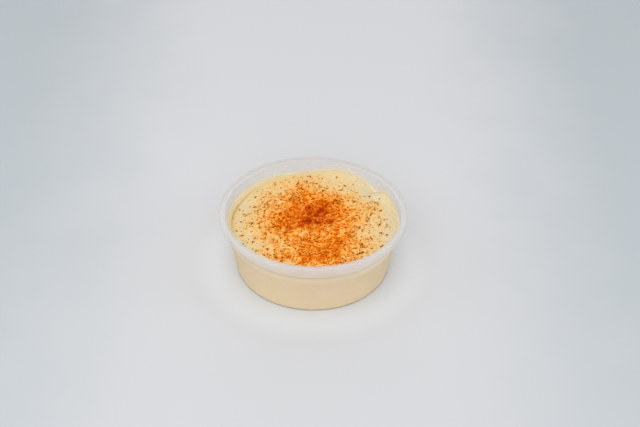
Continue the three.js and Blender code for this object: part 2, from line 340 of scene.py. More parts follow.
# Red of the heaped paprika, darkest in its spots; just behind the crest this dark red is painted
# shade.
HEAP_AND_SHADE_RED = (0.62, 0.047, 0.0)
DARKEST_RED_AND_SHADE = (0.36, 0.018, 0.0)

PAPRIKA_STOPS = [
    (0.0, (1.0, 0.43, 0.06)),
    (0.25, (0.99, 0.30, 0.014)),
    (0.5, (0.84, 0.175, 0.004)),
    (0.75, (0.57, 0.085, 0.001)),
    (1.0, (0.29, 0.03, 0.0)),
]
# Grains in the heap; just behind the crest their darkness is painted shade.
HEAPED_AND_SHADED_STOPS = [(0.0, (1.0, 0.22, 0.008)), (0.5, (0.74, 0.08, 0.001)), (1.0, (0.24, 0.012, 0.0))]
LOOSE_STOPS = [(0.0, (0.82, 0.46, 0.14)), (0.5, (0.60, 0.25, 0.03)), (1.0, (0.26, 0.085, 0.006))]
PAPRIKA_MOTTLE = (0.66, 0.12, 0.002)
HERB_STOPS = [
    (0.0, (0.28, 0.022, 0.0)),
    (0.3, (0.27, 0.055, 0.001)),
    (0.55, (0.28, 0.11, 0.008)),
    (0.8, (0.37, 0.195, 0.03)),
    (1.0, (0.58, 0.33, 0.065)),
]
HERB_MOTTLE = (0.18, 0.04, 0.002)

# Painted light on the floor: the darker front, lighter back and darker, bluer sides stand in for
# how the light falls off.
FRONT_FLOOR = (0.615, 0.62, 0.635)
BACK_FLOOR = (0.685, 0.685, 0.70)
SIDE_FLOOR_SHADE = (0.515, 0.555, 0.58)
NEAR_FLOOR_LIGHT = (0.75, 0.775, 0.815)  # painted light round the tub's foot, against its shadow

# ---- Light and camera ----

SKY = {"colour": (0.97, 0.985, 1.0, 1), "strength": 0.55}
WHITE = (1, 1, 1)
LIGHTS = [  # name, place, target, size, power, colour
    ("overhead", (0, 250, 1500), (0, 0, 0), 1200, 5.35, WHITE),
    ("key", (-150, -450, 650), (0, 0, 10), 600, 1.5, (1.0, 0.995, 0.98)),
    ("front", (0, -900, 300), (0, 0, 20), 900, 3.22, WHITE),
    ("left", (-900, -150, 220), (0, 0, 25), 400, 1.18, WHITE),
    ("right", (900, -150, 220), (0, 0, 25), 400, 1.4, (0.96, 0.99, 1.0)),
    ("back", (0, 900, 350), (0, 0, 20), 900, 1.0, WHITE),
]
FLOOR_HALF = 3000  # half the width of the floor
CAMERA_PLACE = (4.193, -642.5, 528.13)
CAMERA_DOWN = 37.337  # degrees below the horizon
CAMERA_ROLL = 1.2  # degrees
LENS = 73.125
SENSOR_WIDTH = 36
CLIP_START = 0.01  # metres
CLIP_END = 20  # metres


# ---- Smooth noise ----

class PlaneNoise:
    """Smooth value noise in the plane, between -1 and 1, the same on every run."""

    SIZE = 256

    def __init__(self, seed):
        self.table = np.random.default_rng(seed).uniform(-1, 1, (self.SIZE, self.SIZE))

    def at(self, x, y, spacing, strength, shift_x, shift_y):
        u = (np.asarray(x, float) + shift_x) / spacing
        v = (np.asarray(y, float) + shift_y) / spacing
        i = np.floor(u).astype(int)
        j = np.floor(v).astype(int)
        a = u - i
        b = v - j
        a = a * a * (3 - 2 * a)
        b = b * b * (3 - 2 * b)

        def corner(di, dj):
            return self.table[(i + di) % self.SIZE, (j + dj) % self.SIZE]

        near = corner(0, 0) * (1 - a) + corner(1, 0) * a
        far = corner(0, 1) * (1 - a) + corner(1, 1) * a
        return strength * (near * (1 - b) + far * b)


paste_noise = PlaneNoise(PASTE_SEED)
dust_noise = PlaneNoise(DUST_SEED)


# ---- Shape of the paste ----

def bump(distance, reach):
    return np.exp(-((distance / reach) ** 2))


def angle_between(a, b):
    turn = np.abs(a - b) % 360
    return np.minimum(turn, 360 - turn)


def inner_radius(z):
    heights = [FOOT_ROUND, SHOULDER_FOOT, SHOULDER_TOP]
    radii = [BODY_BASE_RADIUS, BODY_TOP_RADIUS, SEAT_RADIUS]
    return np.interp(z, heights, radii) - WALL


def contact_height(degrees):
    z = np.full_like(degrees, EDGE_LEVEL, dtype=float)
    for angle, half_width, rise in SMEARS:
        z = z + rise * bump(angle_between(degrees, angle), half_width)
    return z


def crest_height(x, y):
    ridge_y = CREST["y"] - CREST["bend"] * (x - CREST["x"]) ** 2
    across = CREST_HEIGHT * bump(y - ridge_y, CREST_HALF_WIDTH)
    return across * bump(x - CREST["middle"], CREST["reach"])


def crease_share(degrees, inset):
    """How deep in the crease along the left wall a place lies, from 0 to 1."""
    along = bump(angle_between(degrees, CREASE["angle"]), CREASE["half_width"])
    return bump(inset - CREASE["inset"], CREASE["reach"]) * along


def ripples(x, y):
    long = 0.35 * np.sin(x / 7.3 + 1.1) * np.cos(y / 6.1 + 0.4)
    cross = 0.22 * np.sin((0.6 * x + y) / 4.2) * np.cos((x - 0.4 * y) / 5.7 + 2)
    return long, cross


def surface_height(x, y):
    """Height of the paste's top, without its fine grain: the same form as the CAD's."""
    radius = np.hypot(x, y)
    degrees = np.degrees(np.arctan2(y, x))
    edge = contact_height(degrees)
    inset = inner_radius(edge) - GAP - radius
    long, cross = ripples(x, y)
    z = LEVEL + TILT * x / SEAT_RADIUS + long + cross + crest_height(x, y)
    for px, py, reach_x, reach_y, depth in OVALS:
        z = z - depth * bump(x - px, reach_x) * bump(y - py, reach_y)
    z = z + (edge - z) * bump(np.maximum(inset, 0), EDGE_WIDTH)
    return z - CREASE["depth"] * crease_share(degrees, inset)


def paste_lumps(x, y):
    return paste_noise.at(x, y, *SMALL_LUMPS) + paste_noise.at(x, y, *WIDE_LUMPS)


def fine_height(x, y):
    """The paste's top with its grain: soft lumps, spoon marks and small pits."""
    surface = surface_height(x, y)
    grain = paste_noise.at(x, y, *PASTE_GRAIN)
    marks = paste_noise.at(MARKS_SLANT * x + y, MARKS_SHORTNESS * x, *SPOON_MARKS)
    inset = inner_radius(surface) - np.hypot(x, y)
    calm = 1 - EDGE_CALM * bump(np.maximum(inset, 0), EDGE_CALM_REACH)
    return surface + (LUMP_HEIGHT * paste_lumps(x, y) + grain + marks) * calm


def edge_wave(angle):
    x = EDGE_WAVE_RADIUS * np.cos(np.radians(angle))
    y = EDGE_WAVE_RADIUS * np.sin(np.radians(angle))
    return paste_noise.at(x, y, *WIDE_EDGE_WAVES) + paste_noise.at(x, y, *SMALL_EDGE_WAVES)


def surface_normal(x, y):
    step = SLOPE_STEP
    slope_x = (surface_height(x + step, y) - surface_height(x - step, y)) / (2 * step)
    slope_y = (surface_height(x, y + step) - surface_height(x, y - step)) / (2 * step)
    normal = np.stack([-slope_x, -slope_y, np.ones_like(slope_x)], -1)
    return normal / np.linalg.norm(normal, axis=-1, keepdims=True)


# ---- Where the paprika lies ----

def wall_inset(x, y):
    return inner_radius(EDGE_LEVEL) - np.hypot(x, y)


def dust_cover(x, y):
    out_x = (x - DUST_FIELD["x"]) / DUST_FIELD["reach_x"]
    out_y = (y - DUST_FIELD["y"]) / DUST_FIELD["reach_y"]
    falling = np.exp(-(np.hypot(out_x, out_y) ** DUST_FIELD["falloff"]))
    cover = FIELD_COVER * falling + LEAST_COVER
    for px, py, reach_x, reach_y, gain in COVER_PATCHES:
        cover = cover + gain * bump(x - px, reach_x) * bump(y - py, reach_y)
    wall = bump(np.maximum(wall_inset(x, y), 0), DUSTLESS_REACH)
    return np.clip(cover, 0, 1) * (1 - wall)


def dust_clumps(x, y):
    """How the dust gathers in the hollows and in wider patches, from about -1 to 1."""
    patches = dust_noise.at(x, y, *SMALL_CLUMPS) + dust_noise.at(x, y, *WIDE_CLUMPS)
    return patches - HOLLOW_SHARE * paste_lumps(x, y)


def dark_heap_and_shade(x, y):
    """How much darker and redder the paprika is, from 0 to 1: most in its heap, and just behind
    the crest, where the darkness is painted shade.
    """
    heap = bump(x - DARK_HEAP["x"], DARK_HEAP["reach_x"])
    heap = heap * bump(y - DARK_HEAP["y"], DARK_HEAP["reach_y"])
    heap = DARK_HEAP["strength"] * heap
    for px, py, reach in DARK_SPOTS_AND_SHADE:
        heap = heap + DARK_SPOT_STRENGTH * bump(x - px, reach) * bump(y - py, reach)
    return np.minimum(heap, 1)


def topping_halo(x, y, toppings):
    """The dust that clings round each flake and speck. A topping is its x, y and length."""
    halo = np.zeros_like(x)
    for px, py, length in toppings:
        reach = HALO_SHARE * length + HALO_WIDTH
        halo = np.maximum(halo, bump(np.hypot(x - px, y - py), reach))
    return halo


def stain_strength(x, y, toppings):
    """How deeply the finest dust colours the paste: patchier where less of it fell, deeper in the
    heap, and deeper just behind the crest as painted shade.
    """
    cover = dust_cover(x, y)
    contrast = STAIN_CONTRAST - STAIN_CALM * cover
    stain = FULL_STAIN * cover * (1 + contrast * dust_clumps(x, y))
    return stain + HEAP_AND_SHADE_STAIN * dark_heap_and_shade(x, y) + HALO_STAIN * topping_halo(x, y, toppings)


# ---- Meshes ----

def new_piece(name, points, faces, materials, values=None, smooth=False):
    """A mesh object from points in millimetres. values holds named numbers, one per point."""
    mesh = bpy.data.meshes.new(name)
    points = np.asarray(points, float) * METRES
    faces = np.asarray(faces)
    loop_starts = np.arange(0, faces.size, faces.shape[1], dtype=np.int32)
    mesh.vertices.add(len(points))
    mesh.vertices.foreach_set("co", points.astype(np.float32).ravel())
    mesh.loops.add(faces.size)
    mesh.loops.foreach_set("vertex_index", faces.astype(np.int32).ravel())
    mesh.polygons.add(len(faces))
    mesh.polygons.foreach_set("loop_start", loop_starts)
    mesh.update(calc_edges=True)
    mesh.validate()
    for key, numbers in (values or {}).items():
        layer = mesh.attributes.new(key, "FLOAT", "POINT")
        layer.data.foreach_set("value", np.asarray(numbers, np.float32))
    for material in materials:
        mesh.materials.append(material)
    if smooth:
        mesh.shade_smooth()
    piece = bpy.data.objects.new(name, mesh)
    bpy.context.scene.collection.objects.link(piece)
    return piece


def band_faces(upper, lower, count):
    """Triangles between two rings of count points, which start at upper and at lower."""
    i = np.arange(count)
    j = (i + 1) % count
    first = np.stack([upper + i, lower + i, lower + j], -1)
    second = np.stack([upper + i, lower + j, upper + j], -1)
    return np.concatenate([first, second])


def ring_points(radius, angles, height):
    """Points of a ring. The angles are in degrees, and radius and height may vary round it."""
    turn = np.radians(angles)
    level = np.broadcast_to(height, turn.shape)
    return np.stack([radius * np.cos(turn), radius * np.sin(turn), level], -1)


def arc(centre_r, centre_z, radius, start, end):
    angles = np.radians(np.linspace(start, end, ROUND_STEPS + 1))
    return [(centre_r + radius * math.cos(a), centre_z + radius * math.sin(a)) for a in angles]


# ---- Tub ----

def tub_profile():
    """The tub's section, from the middle of its underside round to the middle of its floor."""
    outer_round = TUB_HEIGHT - LIP_ROUND
    skirt_foot = TUB_HEIGHT - SKIRT_DROP
    lid_stop = TUB_HEIGHT - WALL
    flare = RIM_INNER - (SEAT_RADIUS - WALL)
    corner = FLOOR_TOP + FOOT_ROUND
    corner_r = float(inner_radius(corner))
    return [
        (0, FOOT_RECESS),
        (FOOT_INNER - RECESS_SLOPE, FOOT_RECESS),
        (FOOT_INNER, 0),
        *arc(FOOT_OUTER, FOOT_ROUND, FOOT_ROUND, -90, 0),
        (BODY_TOP_RADIUS, SHOULDER_FOOT),
        (SEAT_RADIUS, SHOULDER_TOP),
        *arc(SEAT_RADIUS + WALL, lid_stop - WALL, WALL, 180, 90),
        *arc(LIP_RADIUS - LIP_ROUND, outer_round, LIP_ROUND - WALL, 90, 0),
        (LIP_RADIUS - WALL, skirt_foot),
        (LIP_RADIUS, skirt_foot),
        *arc(LIP_RADIUS - LIP_ROUND, outer_round, LIP_ROUND, 0, 90),
        *arc(RIM_INNER, TUB_HEIGHT - flare, flare, 90, 180),
        (SEAT_RADIUS - WALL, SHOULDER_TOP),
        (BODY_TOP_RADIUS - WALL, SHOULDER_FOOT),
        *reversed(arc(corner_r - FOOT_ROUND, corner, FOOT_ROUND, -90, 0)),
        (0, FLOOR_TOP),
    ]


def refined(profile):
    fine = [profile[0]]
    for near, far in zip(profile, profile[1:]):
        pieces = max(1, math.ceil(math.dist(near, far) / PROFILE_STEP))
        for i in range(1, pieces + 1):
            share = i / pieces
            radius = near[0] + (far[0] - near[0]) * share
            height = near[1] + (far[1] - near[1]) * share
            fine.append((radius, height))
    return fine


def inside_share(points):
    height = points[:, 2]
    flare = np.maximum(height - (TUB_HEIGHT - RIM_INNER + SEAT_RADIUS - WALL), 0)
    middle = inner_radius(height) + WALL / 2 + flare
    return np.clip((middle - np.hypot(points[:, 0], points[:, 1])) / (WALL / 2), 0, 1)


def smear_share(points):
    degrees = np.degrees(np.arctan2(points[:, 1], points[:, 0]))
    reach = np.full(len(points), FILM_HEIGHT)
    for angle, half_width, height in FILM_RISES:
        reach = reach + height * bump(angle_between(degrees, angle), half_width)
    share = 1 - (points[:, 2] - contact_height(degrees)) / reach
    return np.clip(share, 0, 1) * inside_share(points)


def tub_values(points):
    """Where the plastic differs, and where light and shade are painted on it: what the frosted
    material reads at each point of the tub.
    """
    height = points[:, 2]
    degrees = np.degrees(np.arctan2(points[:, 1], points[:, 0]))
    # The painted shade along the shoulder is darkest at the front.
    front = bump(angle_between(degrees, FRONT_ANGLE), LEDGE_HALF_WIDTH)
    ledge_share = LEDGE_LEAST + (1 - LEDGE_LEAST) * front
    pale_share = bump(angle_between(degrees, PAINTED_LIGHT_BAND["angle"]), PAINTED_LIGHT_BAND["half_width"])
    lip_share = np.clip((height - TUB_HEIGHT + SKIRT_DROP) / WALL, 0, 1)
    band_share = np.clip((height - SHOULDER_TOP) / SHOULDER_RISE, 0, 1)
    band_share = band_share * bump(angle_between(degrees, FRONT_ANGLE), DENSE_HALF_WIDTH)
    # pale and under_ledge mark painted light, ledge painted shade along the shoulder, and foot
    # painted shadow.
    return {
        "pale": pale_share * bump(height - PAINTED_LIGHT_BAND["z"], PAINTED_LIGHT_BAND["reach"]),
        "dense": np.maximum(lip_share, band_share),
        "foot": bump(height, FOOT_ROUND),
        "ledge": bump(height - SHOULDER_Z, LEDGE_REACH) * ledge_share,
        "under_ledge": bump(height - UNDER_LEDGE_Z, UNDER_LEDGE_REACH),
        "filled": np.clip((SHOULDER_Z - height) / SHOULDER_RISE + 0.5, 0, 1),
        "smear": smear_share(points),
        "inside": inside_share(points),
        "flare": np.clip((height - TUB_HEIGHT + LIP_ROUND) / LIP_ROUND, 0, 1),
    }


def make_tub(material):
    profile = refined(tub_profile())
    angles = np.arange(TURN_STEPS) * 360 / TURN_STEPS
    middle = profile[1:-1]
    rings = [ring_points(r, angles, z) for r, z in middle]
    points = np.concatenate([*rings, [[0, 0, profile[0][1]]], [[0, 0, profile[-1][1]]]])
    last = (len(middle) - 1) * TURN_STEPS
    starts = range(0, last, TURN_STEPS)
    faces = [band_faces(start + TURN_STEPS, start, TURN_STEPS) for start in starts]
    i = np.arange(TURN_STEPS)
    j = (i + 1) % TURN_STEPS
    faces.append(np.stack([np.full_like(i, len(points) - 2), j, i], -1))
    faces.append(np.stack([np.full_like(i, len(points) - 1), last + i, last + j], -1))
    faces = np.concatenate(faces)
    tub = new_piece("tub_shell", points, faces, [material], tub_values(points), smooth=True)
    tub.data.set_sharp_from_angle(angle=math.radians(TUB_EDGE_ANGLE))
    return tub


# ---- Paste ----

def disc_ring_faces(k, inner_start, outer_start):
    faces = []
    inner_count = max(SECTORS * (k - 1), 1)
    for sector in range(SECTORS):
        for i in range(k):
            near = inner_start + (sector * (k - 1) + i) % inner_count
            left = outer_start + sector * k + i
            right = outer_start + (sector * k + i + 1) % (SECTORS * k)
            faces.append((near, left, right))
            if i < k - 1:
                next_near = inner_start + (sector * (k - 1) + i + 1) % inner_count
                faces.append((near, right, next_near))
    return faces


def disc_rings():
    """The top's angles, shares of the radius and faces, and where its last ring starts."""
    angles = [np.zeros(1)]
    shares = [np.zeros(1)]
    faces = []
    start = 0
    for k in range(1, RINGS + 1):
        count = SECTORS * k
        outer_start = start + max(SECTORS * (k - 1), 1)
        angles.append(np.arange(count) * (360 / count) + RING_START)
        shares.append(np.full(count, 1 - (1 - k / RINGS) ** RING_CROWDING))
        faces += disc_ring_faces(k, start, outer_start)
        start = outer_start
    return np.concatenate(angles), np.concatenate(shares), faces, start


def paste_side(contact, bottom):
    """Rings of the paste's side and underside, from its edge down: radius and height."""
    rings = []
    for step, height in enumerate((SHOULDER_TOP, SHOULDER_FOOT), 1):
        level = np.minimum(height, contact - SIDE_STEP * step)
        rings.append((inner_radius(level) + INTO_WALL, level))
    corner = reversed(arc(FOOT_OUTER, FOOT_ROUND, FOOT_ROUND - FOOT_SKIN, -90, 0))
    rings += [*corner, (FOOT_INNER, FOOT_SKIN), (FOOT_INNER - RECESS_SLOPE, bottom)]
    return rings


def make_hummus(material, toppings):
    angle, share, top_faces, edge_start = disc_rings()
    contact = contact_height(angle) + edge_wave(angle)
    reach = inner_radius(contact) + INTO_WALL
    inset = reach * (1 - share)
    x = share * reach * np.cos(np.radians(angle))
    y = share * reach * np.sin(np.radians(angle))
    z = fine_height(x, y) + edge_wave(angle) * bump(inset, EDGE_WAVE_REACH)
    z[edge_start:] = contact[edge_start:]

    points = [np.stack([x, y, z], -1)]
    faces = [np.array(top_faces)]
    rim_count = SECTORS * RINGS
    upper = edge_start
    lower = len(x)
    bottom = FLOOR_TOP - INTO_WALL
    for radius, level in paste_side(contact[edge_start:], bottom):
        points.append(ring_points(radius, angle[edge_start:], level))
        faces.append(band_faces(upper, lower, rim_count))
        upper = lower
        lower += rim_count
    points.append(np.array([[0, 0, bottom]]))
    i = np.arange(rim_count)
    faces.append(np.stack([np.full_like(i, lower), upper + (i + 1) % rim_count, upper + i], -1))
    points = np.concatenate(points)
    faces = np.concatenate(faces)

    def padded(numbers, rest=0):
        return np.concatenate([numbers, np.full(len(points) - len(numbers), rest)])

    values = {
        "stain": padded(stain_strength(x, y, toppings)[:edge_start]),
        "dust_heap_and_shade": padded(dark_heap_and_shade(x, y)),
        "paste_edge": padded(bump(inset, EDGE_COLOUR_REACH), rest=1),
        "crease": padded(crease_share(angle, inset)),
        "open_top": padded(np.ones(edge_start)),
    }
    paste = new_piece("hummus_paste", points, faces, [material], values, smooth=True)
    paste.data.set_sharp_from_angle(angle=math.radians(PASTE_EDGE_ANGLE))
    return paste


# ---- Scattered grains ----

def octahedron():
    corners = np.concatenate([np.eye(3), -np.eye(3)])
    faces = []
    for x, y, z in ((a, b, c) for a in (0, 3) for b in (1, 4) for c in (2, 5)):
        outward = (x + y + z) % 2 == 1
        faces.append((x, y, z) if outward else (x, z, y))
    return corners, np.array(faces)


def icosahedron():
    sphere = bmesh.new()
    bmesh.ops.create_icosphere(sphere, subdivisions=1, radius=1)
    corners = np.array([vert.co[:] for vert in sphere.verts])
    faces = np.array([[vert.index for vert in face.verts] for face in sphere.faces])
    sphere.free()
    return corners, faces


def standing_frames(x, y, turn):
    """For each place, the axes of a grain that lies on the slope there, turned by an angle."""
    up = surface_normal(x, y)
    along = np.stack([np.cos(turn), np.sin(turn), np.zeros_like(turn)], -1)
    along -= up * (along * up).sum(-1, keepdims=True)
    along /= np.linalg.norm(along, axis=-1, keepdims=True)
    across = np.cross(up, along)
    return np.stack([along, across, up], 1)


def scattered_grains(name, form, places, sizes, tint, rng, material):
    """One joined mesh of rough, flattened grains that lie partly sunk in the paste."""
    corners, form_faces = form
    x, y = places
    count = len(x)
    jitter = (-CORNER_JITTER, CORNER_JITTER)
    shape = corners[None] * rng.uniform(*CORNER_SCALES, (count, len(corners), 1))
    shape = shape + rng.uniform(*jitter, (count, len(corners), 3))
    shape = shape * np.stack(sizes, -1)[:, None, :] / 2
    axes = standing_frames(x, y, rng.uniform(0, 2 * math.pi, count))
    lean = rng.uniform(-GRAIN_LEAN, GRAIN_LEAN, (count, 1))
    shape[:, :, 2] += lean * shape[:, :, 0]
    points = np.einsum("nvk,nkj->nvj", shape, axes)
    rise = sizes[2] * (0.5 - GRAIN_SINK)
    base = np.stack([x, y, fine_height(x, y)], -1) + axes[:, 2] * rise[:, None]
    points += base[:, None, :]
    faces = form_faces[None] + len(corners) * np.arange(count)[:, None, None]
    loose = np.clip(1 - dust_cover(x, y) / LOOSE_COVER, 0, 1)
    values = {"tint": tint, "heap": dark_heap_and_shade(x, y), "loose": loose}
    values = {key: np.repeat(numbers, len(corners)) for key, numbers in values.items()}
    return new_piece(name, points.reshape(-1, 3), faces.reshape(-1, 3), [material], values)


def random_sizes(count, smallest, largest, rng):
    length = smallest + (largest - smallest) * rng.uniform(0, 1, count) ** SIZE_CROWDING
    breadth = length * rng.uniform(*GRAIN_BREADTHS, count)
    height = length * rng.uniform(*GRAIN_HEIGHTS, count)
    return length, breadth, height


def grain_chance(x, y, power):
    cover = dust_cover(x, y)
    clumping = CLUMPING["mean"] + CLUMPING["clumps"] * dust_clumps(x, y)
    clumping = clumping + CLUMPING["cover"] * (cover - 0.5)
    clumping = clumping + CLUMPING["heap"] * dark_heap_and_shade(x, y)
    wall = bump(np.maximum(wall_inset(x, y), 0), GRAINLESS_REACH)
    return cover ** power * np.clip(clumping, CLUMPING["least"], 1) * (1 - wall)


def places_by_cover(count, power, rng):
    """Places drawn so that grains gather where the paprika fell, in clumps."""
    kept = []
    total = 0
    while total < count:
        places = rng.uniform(-PLACE_REACH, PLACE_REACH, (2, PLACES_TRIED))
        stays = rng.uniform(0, 1, PLACES_TRIED) < grain_chance(*places, power)
        keep = (wall_inset(*places) > LEAST_INSET) & stays
        kept.append(places[:, keep])
        total += keep.sum()
    return np.concatenate(kept, 1)[:, :count]


def grain_tints(x, y, middle, spread, rng):
    """Darkness of each grain's colour, from 0 to 1: darker in the heap, just behind the crest as
    painted shade, and in the hollows.
    """
    tint = rng.normal(middle, spread, len(x)) + HEAP_AND_SHADE_TINT * dark_heap_and_shade(x, y)
    return np.clip(tint + HOLLOW_TINT * dust_clumps(x, y), 0, 1)


PAPRIKA = [  # name, form, seed, count, least size, greatest size, power of cover, tint, spread
    ("paprika_dust", octahedron, 11, 16000, 0.28, 0.5, 1.15, 0.2, 0.12),
    ("paprika_grains", icosahedron, 12, 4800, 0.5, 1.0, 1.2, 0.36, 0.27),
    ("paprika_crumbs", icosahedron, 13, 1500, 0.7, 1.5, 0.9, 0.58, 0.26),
]


def make_paprika(material):
    pieces = []
    for name, form, seed, count, smallest, largest, power, middle, spread in PAPRIKA:
        rng = np.random.default_rng(seed)
        places = places_by_cover(count, power, rng)
        sizes = random_sizes(count, smallest, largest, rng)
        tint = grain_tints(*places, middle, spread, rng)
        pieces.append(scattered_grains(name, form(), places, sizes, tint, rng, material))
    return pieces


# ---- Herb specks and flakes ----

def random_numbers(seed):
    """Park and Miller's random numbers, as in the CAD."""
    state = seed
    while True:
        state = (state * 16807) % 2147483647
        yield state / 2147483647


def spread_number(index, base):
    """A number from 0 to 1 that keeps away from those of the lower indices, as in the CAD."""
    value = 0
    share = 1 / base
    while index > 0:
        value += (index % base) * share
        index //= base
        share /= base
    return value


def flake_places(rng):
    """The CAD's flakes: the marked ones, then the scattered ones from the largest down."""
    random = random_numbers(SCATTER_SEED)
    flakes = []
    for x, y, length, turn, tint in MARKED_FLAKES:
        breadth = max(MARKED_BREADTH * length, LEAST_BREADTH)
        flakes.append((x, y, length, turn, breadth, tint))
    i = 0
    while len(flakes) < len(MARKED_FLAKES) + FLAKE_COUNT:
        i += 1
        low = SCATTER_INNER ** 2
        radius = math.sqrt(low + (SCATTER_OUTER ** 2 - low) * spread_number(i, 2))
        angle = 2 * math.pi * spread_number(i, 3)
        share = (len(flakes) - len(MARKED_FLAKES)) / FLAKE_COUNT
        length = LONGEST_FLAKE + (SHORTEST_FLAKE - LONGEST_FLAKE) * share
        breadth = length * FLAKE_BREADTH * (0.7 + 0.6 * next(random))
        turn = 360 * next(random)
        x = radius * math.cos(angle)
        y = radius * math.sin(angle)
        if all(math.hypot(f[0] - x, f[1] - y) > FLAKE_SPACING for f in flakes):
            cover = dust_cover(x, y)
            tint = rng.uniform(*FLAKE_TINTS) * (1 - DUSTED_TINT * cover)
            tint = tint + BARE_TINT * (1 - cover) ** 2
            flakes.append((x, y, length, turn, breadth, min(tint, 1)))
    return flakes


def flake_points(length, breadth, rng):
    """The points of a dry, curled chip with a ragged outline: its edge, top, under side, tips."""
    angles = np.linspace(0, 2 * math.pi, FLAKE_SIDES, endpoint=False)
    ragged = rng.uniform(*FLAKE_RAGGED, FLAKE_SIDES)[:, None]
    x = np.cos(angles) * length / 2
    y = np.sin(angles) * breadth / 2
    outline = np.stack([x, y, 0 * angles], -1) * ragged
    crown = outline * CROWN_SHARE + np.array([0, 0, CROWN_RISE * FLAKE_THICKNESS])
    under = outline - np.array([0, 0, FLAKE_THICKNESS])
    tips = np.array([[0, 0, PEAK_RISE * FLAKE_THICKNESS], [0, 0, -FLAKE_THICKNESS]])
    points = np.concatenate([outline, crown, under, tips])
    points[:, 2] += rng.uniform(-FLAKE_JITTER, FLAKE_JITTER, len(points))
    along = points[:, 0] / (length / 2)
    curl = rng.uniform(*FLAKE_CURLS) * along ** 2 * min(length, LONGEST_CURL)
    points[:, 2] += curl * CURL_RISE
    points[:, 1] += rng.uniform(*FLAKE_BENDS) * breadth * along ** 2
    return points


def flake_faces():
    """The triangles of one flake. Its last two points are the tips of its top and under side."""
    i = np.arange(FLAKE_SIDES)
    j = (i + 1) % FLAKE_SIDES
    crown = FLAKE_SIDES
    under = 2 * FLAKE_SIDES
    top_tip = np.full_like(i, 3 * FLAKE_SIDES)
    parts = [
        (i, j, crown + j),
        (i, crown + j, crown + i),
        (crown + i, crown + j, top_tip),
        (under + j, under + i, top_tip + 1),
        (j, i, under + i),
        (j, under + i, under + j),
    ]
    return np.concatenate([np.stack(part, -1) for part in parts])


def make_flakes(flakes, material):
    rng = np.random.default_rng(FLAKE_FORM_SEED)
    all_points = []
    all_faces = []
    tints = []
    start = 0
    for x, y, length, turn, breadth, tint in flakes:
        points = flake_points(length, breadth, rng)
        place = np.array([x]), np.array([y])
        axes = standing_frames(*place, np.array([math.radians(turn)]))[0]
        z = float(fine_height(*place)[0]) + FLAKE_LIFT
        all_points.append(points @ axes + np.array([x, y, z]))
        all_faces.append(flake_faces() + start)
        tints.append(np.full(len(points), tint))
        start += len(points)
    points = np.concatenate(all_points)
    faces = np.concatenate(all_faces)
    values = {"tint": np.concatenate(tints)}
    return new_piece("herb_flakes", points, faces, [material], values)


def speck_places(rng):
    radius = np.sqrt(rng.uniform(SPECK_FIELD["inner"], 1, SPECK_COUNT))
    angle = rng.uniform(0, 2 * math.pi, SPECK_COUNT)
    x = SPECK_FIELD["reach_x"] * radius * np.cos(angle)
    y = SPECK_FIELD["y"] + SPECK_FIELD["reach_y"] * radius * np.sin(angle)
    share = rng.uniform(0, 1, SPECK_COUNT) ** 2
    return x, y, SMALLEST_SPECK + (LARGEST_SPECK - SMALLEST_SPECK) * share


def make_specks(specks, material):
    rng = np.random.default_rng(SPECK_FORM_SEED)
    x, y, length = specks
    sizes = length, length * rng.uniform(*SPECK_BREADTHS, SPECK_COUNT), SPECK_HEIGHT * length
    tint = rng.uniform(*SPECK_TINTS, SPECK_COUNT) * (1 - dust_cover(x, y))
    return scattered_grains("herb_specks", icosahedron(), (x, y), sizes, tint, rng, material)


# ---- Shader nodes ----

NOISE_RANGE = (0.3, 0.7)  # where most values of a noise texture lie


def new_material(name, **values):
    """A material, its node tree and its shader, whose inputs are set to the values."""
    material = bpy.data.materials.new(name)
    material.use_nodes = True
    tree = material.node_tree
    tree.nodes.clear()
    shader = add_node(tree, "ShaderNodeBsdfPrincipled", **values)
    add_node(tree, "ShaderNodeOutputMaterial", links={"Surface": shader.outputs["BSDF"]})
    return material, tree, shader


def add_node(tree, kind, settings=None, links=None, **values):
    """Adds a shader node, sets its properties and inputs, and links other outputs to it."""
    node = tree.nodes.new(kind)
    for key, value in (settings or {}).items():
        setattr(node, key, value)
    for key, value in values.items():
        node.inputs[key.replace("_", " ")].default_value = value
    for key, output in (links or {}).items():
        tree.links.new(output, node.inputs[key])
    return node


def feed(tree, shader, key, output):
    tree.links.new(output, shader.inputs[key])


def object_place(tree):
    return add_node(tree, "ShaderNodeTexCoord").outputs["Object"]


def object_axis(tree, axis):
    links = {"Vector": object_place(tree)}
    return add_node(tree, "ShaderNodeSeparateXYZ", links=links).outputs[axis]


def attribute(tree, name):
    return add_node(tree, "ShaderNodeAttribute", {"attribute_name": name}).outputs["Fac"]


def noise(tree, spacing, detail):
    """A noise texture whose features are about spacing millimetres across."""
    links = {"Vector": object_place(tree)}
    values = {"Scale": 1 / (spacing * METRES), "Detail": detail, "Roughness": 0.55}
    return add_node(tree, "ShaderNodeTexNoise", links=links, **values).outputs["Fac"]


def ramp(tree, fac, stops):
    """Colours by fac: stops is a list of (place, colour)."""
    node = add_node(tree, "ShaderNodeValToRGB", links={"Fac": fac})
    elements = node.color_ramp.elements
    while len(elements) < len(stops):
        elements.new(0.5)
    for element, (place, colour) in zip(elements, stops):
        element.position = place
        element.color = (*colour, 1)
    return node.outputs["Color"]


def set_or_link(tree, socket, value):
    """Gives a socket a number or a colour, or links another node's output to it."""
    if isinstance(value, bpy.types.NodeSocket):
        tree.links.new(value, socket)
    elif isinstance(value, tuple):
        socket.default_value = (*value, 1)
    else:
        socket.default_value = value


def mix(tree, fac, a, b):
    node = add_node(tree, "ShaderNodeMix", {"data_type": "RGBA"})
    set_or_link(tree, node.inputs["Factor"], fac)
    set_or_link(tree, node.inputs[6], a)
    set_or_link(tree, node.inputs[7], b)
    return node.outputs[2]


